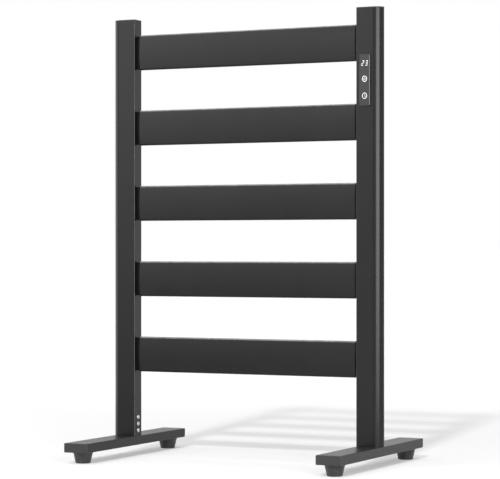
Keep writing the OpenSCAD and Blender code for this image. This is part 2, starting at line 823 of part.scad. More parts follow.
// One supply wire up the post, with a branch to the same end of every cable
module bus(u, end) {
  x = post_x + u;
  lead_x = post_x + lead_reach;
  block_back = board_back + terminal_d;
  low = bar_z(bar_count) + end * heater_spread / 2;
  high = bar_z(1) + end * heater_spread / 2;
  wire([
    [lead_x, 0, low], [x, 0, low], [x, bus_y, low],
    [x, bus_y, high], [x, 0, high], [lead_x, 0, high]
  ], wire_r);
  for (i = [2 : 1 : bar_count - 1]) {
    z = bar_z(i) + end * heater_spread / 2;
    wire([[lead_x, 0, z], [x, 0, z], [x, bus_y, z]], wire_r);
  }
  wire([[x, block_back, terminal_z], [x, bus_y, terminal_z]], wire_r);
}

module live_bus() {
  color("#8c4a22") bus(live_bus_u, 1);
}

module neutral_bus() {
  color("#2f4f9f") bus(neutral_bus_u, -1);
}

// Wire from the mains block up to the terminal block
module feed(u) {
  x = post_x + u;
  y = bus_y;
  wire([[x, y, mains_block_top], [x, y, terminal_z], [x, board_back + terminal_d, terminal_z]], wire_r);
}

module live_feed() {
  color("#8c4a22") feed(feed_live_u);
}

module neutral_feed() {
  color("#2f4f9f") feed(feed_neutral_u);
}

// Terminal block on the inside of the post's rear wall, above the gland
module mains_block() {
  color("#d9d6cc") translate([
    post_x + mains_block_u - mains_block_w / 2, cavity_half - mains_block_d, mains_block_top - mains_block_h
  ]) cube([mains_block_w, mains_block_d, mains_block_h]);
}

// Wire from the mains block to a ring on the post's inner wall
module earth_lead() {
  x = post_x + neutral_bus_u + 1;
  y = bus_y - 5;
  ring_x = post_x + post_wall;
  z = earth_z;
  color("#6d8f2a") difference() {
    union() {
      wire([
        [x, y, mains_block_top], [x, y, z], [ring_x + wire_r, y, z], [ring_x + wire_r, earth_ring_r - 0.8, z]
      ], wire_r);
      rod_x(ring_x, 0, z, earth_ring_r, earth_ring_t);
    }
    rod_x(ring_x - 1, 0, z, earth_screw_r + hole_fit, earth_ring_t + 2);
  }
}

module earth_screw() {
  color("#c9a45a") translate([2 * post_x, 0, 0]) mirror([1, 0, 0])
    translate([0, 0, earth_z]) {
      rod_x(post_x - post_wall - earth_ring_t - 2, 0, 0, 1.8 * earth_screw_r, 2);
      rod_x(post_x - post_wall - earth_ring_t - 1, 0, 0, earth_screw_r, post_wall + earth_ring_t + 1);
    }
}

// Bimetal cut-out on the post's inner wall, beside the supply wires
module thermal_cutout() {
  z = (bar_z(1) + bar_z(2)) / 2;
  color("#b8b2a4") rod_x(post_x + post_wall, 0, z, cutout_r, cutout_t);
}

// Gland through the rear wall: outer flange, sleeve and inner nut around one bore
module cord_gland() {
  z = gland_z;
  x = post_x + gland_u;
  color("#17181a") difference() {
    union() {
      rod_y(x, cavity_half - gland_nut_t, z, gland_r, post_wall + gland_nut_t + gland_flange_t);
      rod_y(x, half_depth, z, gland_flange_r, gland_flange_t);
      translate([x, cavity_half - gland_nut_t, z])
        rotate([-90, 0, 0]) cylinder(r = gland_flange_r, h = gland_nut_t, $fn = 6);
    }
    rod_y(x, cavity_half - gland_nut_t - 1, z, gland_bore / 2, post_wall + gland_nut_t + gland_flange_t + 2);
  }
}

/* ---- drawing ---- */

left_post();
right_post();
side_cover(LEFT);  // left_side_cover
side_cover(RIGHT);  // right_side_cover
top_cap(LEFT);  // left_top_cap
top_cap(RIGHT);  // right_top_cap
for (i = [1 : bar_count]) heated_bar(i);
for (i = [1 : bar_count]) heating_cable(i);
collars(LEFT);  // left_collars
collars(RIGHT);  // right_collars
bar_plugs(LEFT);  // left_bar_plugs
bar_plugs(RIGHT);  // right_bar_plugs
bar_screws();
foot_bar(LEFT);  // left_foot_bar
foot_bar(RIGHT);  // right_foot_bar
foot_bar_caps(LEFT);  // left_foot_bar_caps
foot_bar_caps(RIGHT);  // right_foot_bar_caps
base_block(LEFT);  // left_base_block
base_block(RIGHT);  // right_base_block
base_screws();
base_bolts();
stud_nuts();
for (k = [0 : 3]) foot(k);
for (k = [0 : 3]) stud(k);
panel_frame();
panel_lens();
display_module();
display_digits();
key(power_z);  // power_key
key(timer_z);  // timer_key
key_spring_pad();
tact_switches();
control_board();
board_screws();
relay();
capacitor();
terminal_block();
live_bus();
neutral_bus();
live_feed();
neutral_feed();
mains_block();
earth_lead();
earth_screw();
thermal_cutout();
cord_gland();
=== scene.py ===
"""Looks of a free-standing electric towel warmer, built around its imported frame.

Smooth skins for the heated bars, the moulded caps, the feet and the control panel, and a
procedural finish for every piece. Metres, in the axes of the frame.
"""

import json
import math

import bmesh
import bpy
from mathutils import Euler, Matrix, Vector


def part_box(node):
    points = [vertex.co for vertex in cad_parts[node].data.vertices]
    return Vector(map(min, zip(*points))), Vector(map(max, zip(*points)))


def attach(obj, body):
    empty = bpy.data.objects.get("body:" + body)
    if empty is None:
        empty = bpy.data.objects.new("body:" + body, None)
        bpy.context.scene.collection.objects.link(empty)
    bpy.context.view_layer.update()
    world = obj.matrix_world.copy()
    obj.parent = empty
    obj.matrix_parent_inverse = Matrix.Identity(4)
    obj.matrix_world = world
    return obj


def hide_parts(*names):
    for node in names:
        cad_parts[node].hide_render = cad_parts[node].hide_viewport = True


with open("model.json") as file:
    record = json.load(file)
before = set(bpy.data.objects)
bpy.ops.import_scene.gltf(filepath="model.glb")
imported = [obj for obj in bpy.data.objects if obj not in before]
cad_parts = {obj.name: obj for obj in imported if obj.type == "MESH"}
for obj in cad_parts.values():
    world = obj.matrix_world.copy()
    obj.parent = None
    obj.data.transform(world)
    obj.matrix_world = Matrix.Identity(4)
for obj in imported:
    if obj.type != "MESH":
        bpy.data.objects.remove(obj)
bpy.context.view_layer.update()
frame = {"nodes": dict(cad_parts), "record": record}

MM = 0.001
NODES = frame["nodes"]
RECORD = frame["record"]
BAR_COUNT = sum(name.startswith("heated_bar_") for name in NODES)
SIDES = {"left": -1, "right": 1}
FEET = ("left_front", "left_rear", "right_front", "right_rear")


# ---------------------------------------------------------------- node trees

class Tree:
    """A shader node tree that is written as a few nested calls."""

    def __init__(self, owner):
        owner.use_nodes = True
        self.tree = owner.node_tree
        self.tree.nodes.clear()

    def feed(self, socket, value):
        """Sets a socket to a number or colour, or links another node's output to it."""
        if isinstance(value, bpy.types.NodeSocket):
            self.tree.links.new(value, socket)
        else:
            socket.default_value = value

    def node(self, kind, settings=None, **inputs):
        """Adds a node. Inputs go by name, or as i0, i1 and so on by place."""
        made = self.tree.nodes.new(kind)
        for key, value in (settings or {}).items():
            setattr(made, key, value)
        for key, value in inputs.items():
            by_place = key[0] == "i" and key[1:].isdigit()
            self.feed(made.inputs[int(key[1:]) if by_place else key.replace("_", " ")], value)
        return made

    def math(self, operation, a, b=0.0):
        return self.node("ShaderNodeMath", {"operation": operation}, i0=a, i1=b).outputs[0]

    def noise(self, coords, scale, detail=2.0, stretch=(1, 1, 1)):
        """A noise value from 0 to 1. Scale is in features a metre."""
        if stretch != (1, 1, 1):
            coords = self.node("ShaderNodeMapping", Vector=coords, Scale=stretch).outputs[0]
        made = self.node("ShaderNodeTexNoise", Vector=coords, Scale=scale, Detail=detail)
        return made.outputs[0]

    def ramp(self, value, low, high, to_low, to_high):
        """Maps value from low..high to to_low..to_high with soft ends."""
        made = self.node(
            "ShaderNodeMapRange", {"interpolation_type": "SMOOTHSTEP"},
            Value=value, From_Min=low, From_Max=high, To_Min=to_low, To_Max=to_high,
        )
        return made.outputs[0]

    def steps(self, value, stops):
        """A value that runs straight from stop to stop: pairs of place and level."""
        level = stops[0][1]
        for (low, before), (high, after) in zip(stops, stops[1:]):
            rise = self.node(
                "ShaderNodeMapRange",
                Value=value, From_Min=low, From_Max=high, To_Min=0.0, To_Max=after - before,
            ).outputs[0]
            level = self.math("ADD", rise, level)
        return level

    def mix(self, factor, a, b):
        """Mixes two colours."""
        made = self.node("ShaderNodeMix", {"data_type": "RGBA"})
        for place, value in ((0, factor), (6, a), (7, b)):
            self.feed(made.inputs[place], value)
        return made.outputs[2]


def shade(colour, factor):
    """The colour scaled by factor, as an RGBA tuple."""
    return tuple(min(1.0, channel * factor) for channel in colour[:3]) + (1.0,)


PATCHES = 14.0          # features a metre of the broad mottling
CLOUDS = 90.0           # and of the blotches in the edge wear, the painted highlights and the dust
EDGE_MARK_RADIUS = 0.9 * MM  # how far from an edge the wear and its painted edge highlight reach
DUST_HEIGHT = 60 * MM
DUST = (0.34, 0.33, 0.31, 1.0)


def painted_highlight_band(tree, normal, where):
    """Share of painted highlight by the way a surface faces: at the top edges or the front corners.
    """
    if where == "top":
        up = normal["Z"]
        rising, falling = tree.ramp(up, 0.3, 0.6, 0.0, 1.0), tree.ramp(up, 0.86, 0.98, 1.0, 0.1)
        return tree.math("MULTIPLY", rising, falling)
    across = tree.math("ABSOLUTE", normal["X"])
    front = tree.math("MULTIPLY", normal["Y"], -1.0)
    return tree.ramp(tree.math("MULTIPLY", across, front), 0.2, 0.42, 0.0, 1.0)


def finish(slot, colour, rough, metal=0.0, specular=0.5, grain=900.0, grain_depth=0.02,
           stretch=(1, 1, 1), mottle=0.12, rough_spread=0.06, dust=0.0, glow=0.0,
           edge_wear_and_highlight=None, painted_highlights=()):
    """A material with grain, mottling, uneven gloss, lighter edges that are partly wear and partly a
    painted highlight, painted highlight bands and dust near the floor.

    grain is in features a metre and grain_depth in millimetres. The edge colour is partly wear and
    partly a painted edge highlight.
    The painted highlights come as pairs of a place and its colour: lighter bands where a surface
    faces up at a top edge or across a front corner."""
    material = bpy.data.materials.new(slot + "_finish")
    tree = Tree(material)
    coords = tree.node("ShaderNodeTexCoord").outputs["Object"]
    patches = tree.noise(coords, PATCHES, 4.0)
    cloud = tree.noise(coords, CLOUDS, 3.0)
    fine = tree.noise(coords, grain, 3.0, stretch)
    darker, paler = shade(colour, 1 - mottle), shade(colour, 1 + mottle)
    base = tree.mix(tree.ramp(patches, 0.3, 0.7, 0.0, 1.0), darker, paler)
    base = tree.mix(tree.ramp(fine, 0.42, 0.62, 0.0, 0.35), base, shade(colour, 1 + 2 * mottle))
    # Lighter edges: partly wear, partly a painted edge highlight.
    if edge_wear_and_highlight:
        rounded = tree.node("ShaderNodeBevel", {"samples": 6}, Radius=EDGE_MARK_RADIUS).outputs[0]
        flat = tree.node("ShaderNodeNewGeometry").outputs["Normal"]
        along = tree.node("ShaderNodeVectorMath", {"operation": "DOT_PRODUCT"}, i0=rounded, i1=flat)
        edge = tree.ramp(along.outputs["Value"], 0.995, 0.86, 0.0, 1.0)
        worn_and_highlit = tree.math("MULTIPLY", edge, tree.ramp(cloud, 0.35, 0.7, 0.25, 1.0))
        base = tree.mix(worn_and_highlit, base, shade(edge_wear_and_highlight, 1.0))
    # Painted highlights: lighter bands by the way the surface faces, at top edges and front corners.
    if painted_highlights:
        normal = tree.node("ShaderNodeNewGeometry").outputs["Normal"]
        normal = tree.node("ShaderNodeSeparateXYZ", Vector=normal).outputs
        for where, tint in painted_highlights:
            band = painted_highlight_band(tree, normal, where)
            highlight_share = tree.math("MULTIPLY", band, tree.ramp(cloud, 0.3, 0.7, 0.6, 1.0))
            base = tree.mix(highlight_share, base, shade(tint, 1.0))
    if dust:
        height = tree.node("ShaderNodeSeparateXYZ", Vector=coords).outputs["Z"]
        low = tree.ramp(height, 0.0, DUST_HEIGHT, dust, 0.0)
        settled = tree.math("MULTIPLY", low, tree.ramp(cloud, 0.35, 0.75, 0.2, 1.0))
        base = tree.mix(settled, base, DUST)
    gloss = tree.math("ADD", tree.math("MULTIPLY", patches, rough_spread),
                      tree.math("MULTIPLY", fine, rough_spread))
    gloss = tree.math("ADD", gloss, rough - rough_spread)
    bump = tree.node("ShaderNodeBump", Strength=0.6, Distance=grain_depth * MM, Height=fine)
    shader = tree.node(
        "ShaderNodeBsdfPrincipled", Base_Color=base, Roughness=gloss, Metallic=metal,
        Specular_IOR_Level=specular, Normal=bump.outputs[0],
    )
    # Emission: the display's lit segments, and a painted glow on the printed key icons.
    if glow:
        spread = tree.ramp(fine, 0.3, 0.7, 0.9, 1.0)
        lit = tree.mix(spread, (0.0, 0.0, 0.0, 1.0), shade(colour, 1.0))
        tree.feed(shader.inputs["Emission Color"], lit)
        tree.feed(shader.inputs["Emission Strength"], glow)
    output = tree.node("ShaderNodeOutputMaterial", Surface=shader.outputs[0])
    output.is_active_output = True
    return material


BLACK = (0.0075, 0.0077, 0.008)
# Colour of the lighter edges: partly wear, partly a painted edge highlight.
WORN_AND_HIGHLIT_EDGE = (0.14, 0.141, 0.144)
COAT = {"specular": 0.25, "grain": 1500, "grain_depth": 0.018}

# Slot, colour, roughness and whatever departs from a plain finish
FINISHES = {slot: finish(slot, colour, rough, **rest) for slot, colour, rough, rest in (
    # The lighter edge colours below are partly wear and partly a painted edge highlight.
    ("black_coat", BLACK, 0.2, {**COAT, "edge_wear_and_highlight": WORN_AND_HIGHLIT_EDGE}),
    # post_coat paints a highlight on the posts' front corners, bar_coat one along the bars' top
    # edges.
    ("post_coat", BLACK, 0.2, {**COAT, "painted_highlights": (("corner", (0.13, 0.13, 0.132)),)}),
    ("bar_coat", BLACK, 0.22, {**COAT, "painted_highlights": (("top", (0.27, 0.27, 0.275)),)}),
    ("cover_coat", BLACK, 0.18, {**COAT, "specular": 0.3}),
    ("foot_coat", (0.012, 0.0122, 0.0126), 0.36, {**COAT, "grain_depth": 0.02, "edge_wear_and_highlight": WORN_AND_HIGHLIT_EDGE}),
    ("cap_plastic", (0.021, 0.022, 0.023), 0.44,
     {"grain": 2600, "grain_depth": 0.03, "edge_wear_and_highlight": (0.05, 0.05, 0.052)}),
    ("collar_plastic", (0.004, 0.004, 0.0043), 0.6,
     {"specular": 0.12, "grain": 2600, "grain_depth": 0.03}),
    ("heating_silicone", (0.42, 0.06, 0.035), 0.5, {"grain": 1200}),
    ("cast_aluminium", (0.6, 0.61, 0.63), 0.42, {"metal": 1.0, "grain": 1800, "grain_depth": 0.05}),
    ("zinc_steel", (0.42, 0.425, 0.44), 0.42, {"metal": 1.0, "grain": 2400, "grain_depth": 0.01}),
    ("bright_steel", (0.56, 0.56, 0.57), 0.3, {"metal": 1.0, "grain": 2400, "grain_depth": 0.008}),
    ("foot_rubber", (0.013, 0.013, 0.0135), 0.45,
     {"grain": 2200, "grain_depth": 0.04, "mottle": 0.2, "dust": 0.1, "edge_wear_and_highlight": (0.07, 0.07, 0.07)}),
    ("panel_plastic", (0.03, 0.031, 0.033), 0.26, {"grain": 2600, "grain_depth": 0.008}),
    ("panel_gloss", (0.008, 0.008, 0.009), 0.16,
     {"grain": 300, "grain_depth": 0.004, "rough_spread": 0.03}),
    ("key_gloss", (0.009, 0.009, 0.01), 0.18,
     {"grain": 300, "grain_depth": 0.004, "rough_spread": 0.03}),
    # digit_light glows: lit display segments, and a painted glow on the printed key icons.
    ("digit_light", (0.72, 0.75, 0.8), 0.4, {"grain": 1800, "grain_depth": 0.004, "glow": 0.35}),
    ("grey_silicone", (0.36, 0.36, 0.36), 0.55, {"grain": 1800}),
    ("switch_plastic", (0.04, 0.04, 0.045), 0.4, {"grain": 2600}),
    ("circuit_board", (0.03, 0.16, 0.06), 0.3, {}),
    ("relay_plastic", (0.03, 0.1, 0.34), 0.25, {"grain": 2000, "grain_depth": 0.01}),
    ("terminal_plastic", (0.05, 0.28, 0.1), 0.4, {"grain": 2000}),
    ("live_wire", (0.22, 0.08, 0.03), 0.4, {"grain": 1600}),
    ("neutral_wire", (0.03, 0.08, 0.34), 0.4, {"grain": 1600}),
    ("earth_wire", (0.18, 0.34, 0.05), 0.4, {"grain": 1600}),
    ("block_plastic", (0.66, 0.63, 0.55), 0.45, {"grain": 1800}),
    ("brass_metal", (0.72, 0.52, 0.24), 0.3, {"metal": 1.0, "grain": 2400, "grain_depth": 0.01}),
    ("bare_aluminium", (0.66, 0.67, 0.69), 0.34,
     {"metal": 1.0, "grain": 1800, "stretch": (1, 6, 6)}),
)}

# Pieces whose coat has its own gloss, and for the posts a painted highlight on the front corners
OWN_COATS = {"post": "post_coat", "side_cover": "cover_coat", "foot_bar": "foot_coat"}
LOOKS = {f"{side}_{part}": look for side in SIDES for part, look in OWN_COATS.items()}

for subpart in RECORD["subparts"]:
    mesh = NODES[subpart["node"]].data
    for index in range(len(mesh.materials)):
        mesh.materials[index] = FINISHES[LOOKS.get(subpart["node"], subpart["material_slot"])]


# ---------------------------------------------------------------- mesh helpers

def rounded_rect(width, height, radius, steps=6):
    """Points (u, v) of a rounded rectangle centred on zero, anticlockwise."""
    points = []
    for corner in range(4):
        middle = Vector(((width / 2 - radius) * (1, -1, -1, 1)[corner],
                         (height / 2 - radius) * (1, 1, -1, -1)[corner]))
        for step in range(steps + 1):
            turn = math.pi / 2 * (corner + step / steps)
            points.append(middle + radius * Vector((math.cos(turn), math.sin(turn))))
    return points


def lens_section(depth, height, edge, face_steps=20, edge_steps=8):
    """Points (y, z) of two wide arcs that run into a small round at the top and bottom edges."""
    tip = height / 2 - edge
    face = (tip ** 2 / (depth / 2 - edge) + edge + depth / 2) / 2
    half_turn = math.asin(tip / (face - edge))
    points = []
    for side in (0, math.pi):
        arcs = (
            (Vector((depth / 2 - face, 0)), face, -half_turn, half_turn, face_steps),
            (Vector((0, tip)), edge, half_turn, math.pi - half_turn, edge_steps),
        )
        for middle, radius, first, last, steps in arcs:
            for step in range(steps):
                turn = first + (last - first) * step / steps
                point = middle + radius * Vector((math.cos(turn), math.sin(turn)))
                points.append(point if side == 0 else -point)
    return points


def loft(bm, rings, closed=False):
    """Skins a row of equally long rings of points, with a face over each end unless closed."""
    made = [[bm.verts.new(point) for point in ring] for ring in rings]
    count = len(made[0])
    last = len(made) if closed else len(made) - 1
    for row in range(last):
        a, b = made[row], made[(row + 1) % len(made)]
        for k in range(count):
            bm.faces.new((a[k], a[(k + 1) % count], b[(k + 1) % count], b[k]))
    if not closed:
        bm.faces.new(made[0][::-1])
        bm.faces.new(made[-1])


def turned(bm, profile, place, segments=72):
    """Turns a profile of (radius, height) about its axis, closed flat at its first and last ring."""
    rings = []
    for radius, height in profile:
        turns = [2 * math.pi * k / segments for k in range(segments)]
        rings.append([place(radius * math.cos(t), radius * math.sin(t), height) for t in turns])
    loft(bm, rings)


def fillet(radius, steps=5):
    """Pairs (inset, drop) of a quarter round: from the wall (0, radius) to the top (radius, 0)."""
    turns = [math.pi / 2 * step / steps for step in range(steps + 1)]
    return [(radius * (1 - math.cos(t)), radius * (1 - math.sin(t))) for t in turns]


def add_piece(name, bm, body, slot, replaced=(), sharp=35, look=None):
    """Turns a bmesh into a piece with its finish, riding on a body."""
    bmesh.ops.recalc_face_normals(bm, faces=bm.faces)
    mesh = bpy.data.meshes.new(name)
    bm.to_mesh(mesh)
    bm.free()
    piece = bpy.data.objects.new(name, mesh)
    bpy.context.scene.collection.objects.link(piece)
    mesh.polygons.foreach_set("use_smooth", [True] * len(mesh.polygons))
    mesh.set_sharp_from_angle(angle=math.radians(sharp))
    mesh.materials.append(FINISHES[look or slot])
    weighted = piece.modifiers.new("weighted_normals", "WEIGHTED_NORMAL")
    weighted.keep_sharp = True
    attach(piece, body)
    if replaced:
        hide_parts(*replaced)
    return piece


# ---------------------------------------------------------------- heated bars

BAR_DEPTH = 13 * MM
BAR_EDGE = 4.4 * MM
BAR_WALL = 1.4 * MM


def heated_bar(number):
    """A hollow extrusion with two shallow convex faces and rounded long edges."""
    node = f"heated_bar_{number}"
    low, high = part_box(node)
    middle = (low.z + high.z) / 2
    height = high.z - low.z
    outer = lens_section(BAR_DEPTH, height, BAR_EDGE)
    inner = lens_section(BAR_DEPTH - 2 * BAR_WALL, height - 2 * BAR_WALL, BAR_EDGE - BAR_WALL)

    def ring(section, x):
        return [Vector((x, y, middle + z)) for y, z in section]

    bm = bmesh.new()
    loft(bm, [ring(outer, low.x), ring(outer, high.x), ring(inner, high.x), ring(inner, low.x)],
         closed=True)
    # The bar coat paints a highlight along the bars' top edges.
    add_piece(f"bar_skin_{number}", bm, "rack", "black_coat", [node], look="bar_coat")


for number in range(1, BAR_COUNT + 1):
    heated_bar(number)


# ---------------------------------------------------------------- caps of the posts

CAP_EDGE = 0.9 * MM
CAP_SEAM = 0.25 * MM
CAP_PLATE = 2.4 * MM
PLUG_INSET = 1.95 * MM   # from the post's outside to the plug
PLUG_WIDTH = 28 * MM
PLUG_WALL = 1.6 * MM
PLUG_CORNER = 0.8 * MM
OVERLAP = 0.1 * MM       # how far a plug reaches into its plate
POST_CORNER = 1 * MM
NOSE_REACH = 18.7 * MM   # the half-round cover: its depth and the radius of its tip
NOSE_TIP = 9 * MM


def cap_section(side, box, inset, steps=6):
    """Points (x, y) of a post and its rounded cover together, drawn in by inset."""
    low, high = box
    depth = high.y - low.y
    inner = (low.x if side > 0 else -high.x)
    outer = (high.x if side > 0 else -low.x)
    corner = max(POST_CORNER - inset, 0.1 * MM)
    nose = lens_section(depth - 2 * inset, 2 * (NOSE_REACH - inset), NOSE_TIP - inset, 40, 16)
    nose = [Vector((outer - NOSE_REACH + max(z, 0.0), y)) for y, z in nose if z > -1e-7]
    points = sorted(nose, key=lambda point: point.y)
    for quarter, sign in ((1, 1), (2, -1)):
        middle = Vector((inner + inset + corner, sign * (depth / 2 - inset - corner)))
        for step in range(steps + 1):
            turn = math.pi / 2 * (quarter + step / steps)
            points.append(middle + corner * Vector((math.cos(turn), math.sin(turn))))
    return [Vector((side * x, y)) for x, y in points]


def top_cap(name):
    """A moulded plate with a rounded rim, on a plug inside the post."""
    side = SIDES[name]
    node = f"{name}_top_cap"
    low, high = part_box(node)
    post_low, post_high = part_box(f"{name}_post")
    top, under = high.z, high.z - CAP_PLATE
    levels = [(CAP_SEAM, under), (CAP_SEAM / 4, under + CAP_SEAM), (0.0, under + 2 * CAP_SEAM)]
    levels += [(inset, top - drop) for inset, drop in fillet(CAP_EDGE)]
    bm = bmesh.new()
    loft(bm, [[Vector((x, y, z)) for x, y in cap_section(side, (low, high), inset)]
              for inset, z in levels])
    plug_near = (post_low.x if side > 0 else -post_high.x) + PLUG_INSET
    middle = side * (plug_near + PLUG_WIDTH / 2)
    depth = (post_high.y - post_low.y) - 2 * PLUG_INSET

    def plug(inset, z):
        points = rounded_rect(PLUG_WIDTH - 2 * inset, depth - 2 * inset, PLUG_CORNER, 3)
        return [Vector((middle + u, v, z)) for u, v in points]

    loft(bm, [plug(0.0, under + OVERLAP), plug(0.0, low.z),
              plug(PLUG_WALL, low.z), plug(PLUG_WALL, under + OVERLAP)], closed=True)
    add_piece(f"{name}_cap_skin", bm, "rack", "cap_plastic", [node])


for name in SIDES:
    top_cap(name)


# ---------------------------------------------------------------- end caps of the foot bars

END_CAP = 3 * MM
END_EDGE = 1.3 * MM
END_CORNER = 2 * MM
END_SEAM = 0.3 * MM
# The plug's outside and inside, as insets, and its length
END_PLUG = (1.65 * MM, 3.25 * MM, 9 * MM)


def foot_bar_caps(name):
    """Two moulded caps with rounded rims, each on a plug inside the tube."""
    node = f"{name}_foot_bar_caps"
    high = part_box(node)[1]
    tube_low, tube_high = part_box(f"{name}_foot_bar")
    centre = (tube_low + tube_high) / 2
    width, height = tube_high.x - tube_low.x, tube_high.z - tube_low.z
    seat = high.y - END_CAP

    def ring(end, inset, y):
        corner = max(END_CORNER - inset, 0.3 * MM)
        points = rounded_rect(width - 2 * inset, height - 2 * inset, corner)
        return [Vector((centre.x + u, end * y, centre.z + v)) for u, v in points]

    levels = [(END_SEAM, seat), (0.05 * MM, seat + END_SEAM)]
    levels += [(inset, high.y - drop) for inset, drop in fillet(END_EDGE)]
    outside, inside, reach = END_PLUG
    bm = bmesh.new()
    for end in (-1, 1):
        loft(bm, [ring(end, inset, y) for inset, y in levels])
        loft(bm, [ring(end, outside, seat + OVERLAP), ring(end, outside, seat - reach),
                  ring(end, inside, seat - reach), ring(end, inside, seat + OVERLAP)], closed=True)
    add_piece(f"{name}_foot_bar_cap_skins", bm, "rack", "cap_plastic", [node])


for name in SIDES:
    foot_bar_caps(name)


# ---------------------------------------------------------------- levelling feet

TREAD_RADIUS = 15.5 * MM
TREAD_CHAMFER = 1.2 * MM
FOOT_COLLAR = 2 * MM
STUD_GAP = 0.05 * MM
AXIS_HOLE = 0.3 * MM   # a turned skin ends just off its axis


def levelling_foot(name):
    """A tapered rubber foot with a thin collar, a soft rim and a chamfered tread."""
    node = f"{name}_foot"
    low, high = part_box(node)
    stud_low, stud_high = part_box(f"{name}_stud")
    centre = (low + high) / 2
    top_r = (high.x - low.x) / 2
    stud_r = (stud_high.x - stud_low.x) / 2 + STUD_GAP
    height, collar, chamfer = high.z, high.z - FOOT_COLLAR, TREAD_CHAMFER
    profile = [
        (AXIS_HOLE, 0.0), (TREAD_RADIUS - chamfer, 0.0),
        (TREAD_RADIUS - 0.35 * chamfer, 0.3 * chamfer), (TREAD_RADIUS, chamfer),
        (top_r - 1.1 * MM, collar - 0.6 * MM), (top_r - 0.8 * MM, collar),
        (top_r - 0.35 * MM, collar + 0.05 * MM), (top_r - 0.08 * MM, collar + 0.3 * MM),
        (top_r, collar + 0.6 * MM), (top_r, height - 0.5 * MM),
        (top_r - 0.15 * MM, height - 0.15 * MM), (top_r - 0.5 * MM, height),
        (stud_r, height), (stud_r, stud_low.z), (AXIS_HOLE, stud_low.z),
    ]
    bm = bmesh.new()
    turned(bm, profile, lambda x, y, z: Vector((centre.x + x, centre.y + y, z)), 96)
    add_piece(f"{name}_foot_skin", bm, node, "foot_rubber", [node])


for name in FEET:
    levelling_foot(name)


# ---------------------------------------------------------------- screws at the foot of the posts

SCREW_PITCH = 14 * MM
SCREW_FIRST = 12 * MM       # from the post's foot to the lowest screw
SCREW_FACE = 253.35 * MM    # from the middle of the rack to the top of the heads
HEAD_RADIUS = 4.25 * MM
SOCKET_RADIUS = 1.75 * MM
SHANK = (2.45 * MM, 10 * MM)
# Share of the head's radius and of its height, from the wall up to the socket's rim
DOME = ((1.0, 0.0), (1.0, 0.25), (0.94, 0.62), (0.8, 0.86), (0.6, 1.0))
SOCKET_LEVELS = (0.98, 0.3)


def base_screws():
    """Domed heads with a hexagon socket, on plain shanks."""
    post_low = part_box("right_post")[0]
    inner = post_low.x
    head_height = inner - SCREW_FACE
    segments = 48

    def ring(radius, out, centre, side, hexagon=False):
        points = []
        for k in range(segments):
            turn = 2 * math.pi * k / segments
            reach = radius
            if hexagon:
                wedge = turn % (math.pi / 3) - math.pi / 6
                reach = radius * math.cos(math.pi / 6) / math.cos(wedge)
            up, across = centre + reach * math.sin(turn), reach * math.cos(turn)
            points.append(Vector((side * (inner - out), across, up)))
        return points

    bm = bmesh.new()
    for side in (-1, 1):
        for k in range(3):
            centre = post_low.z + SCREW_FIRST + k * SCREW_PITCH
            rings = [ring(SHANK[0], out, centre, side) for out in (-SHANK[1], 0.0)]
            rings += [ring(share * HEAD_RADIUS, level * head_height, centre, side)
                      for share, level in DOME]
            rings += [ring(SOCKET_RADIUS, level * head_height, centre, side, True)
                      for level in SOCKET_LEVELS]
            loft(bm, rings)
    add_piece("base_screw_skins", bm, "rack", "bright_steel", ["base_screws"], 40)


base_screws()


# ---------------------------------------------------------------- control panel

BEZEL_SLOPE = 1.35 * MM
BEZEL_DROP = 0.85 * MM
BEZEL_RIM = 1.66 * MM       # from the bezel's outside to its window
BEZEL_MARGIN = 1.79 * MM    # from the bezel's outside to the lens
BEZEL_LIFT = 0.14 * MM      # in front of the panel's frame
BEZEL_CORNER = 1.9 * MM
SEAT = 0.05 * MM            # small step into or off the surface that carries a piece


def panel_bezel():
    """A raised rim that slopes down to its sides around the glossy window."""
    lens_low, lens_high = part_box("panel_lens")
    centre = (lens_low + lens_high) / 2
    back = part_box("right_post")[0].y - SEAT
    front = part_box("panel_frame")[0].y - BEZEL_LIFT
    foot = front + BEZEL_DROP
    width = lens_high.x - lens_low.x + 2 * BEZEL_MARGIN
    height = lens_high.z - lens_low.z + 2 * BEZEL_MARGIN

    def ring(inset, y):
        corner = max(BEZEL_CORNER - inset, 0.4 * MM)
        points = rounded_rect(width - 2 * inset, height - 2 * inset, corner)
        return [Vector((centre.x + u, y, centre.z + v)) for u, v in points]

    rings = [ring(0.0, back), ring(0.0, foot + 0.2 * MM),
             ring(0.05 * MM, foot + 0.06 * MM), ring(0.15 * MM, foot - 0.08 * MM),
             ring(BEZEL_SLOPE - 0.15 * MM, front + 0.06 * MM), ring(BEZEL_SLOPE, front),
             ring(BEZEL_RIM - 0.07 * MM, front), ring(BEZEL_RIM, front + 0.08 * MM),
             ring(BEZEL_RIM, lens_low.y + 0.6 * MM), ring(BEZEL_RIM - 0.3 * MM, back)]
    bm = bmesh.new()
    loft(bm, rings, closed=True)
    add_piece("panel_bezel", bm, "rack", "panel_plastic")


KEY_RADIUS = 6.9 * MM
KEY_RIM = 0.45 * MM
KEY_FLANGE = 0.8 * MM
STEM_RADIUS = 2 * MM
STEM_HOLE = 0.2 * MM


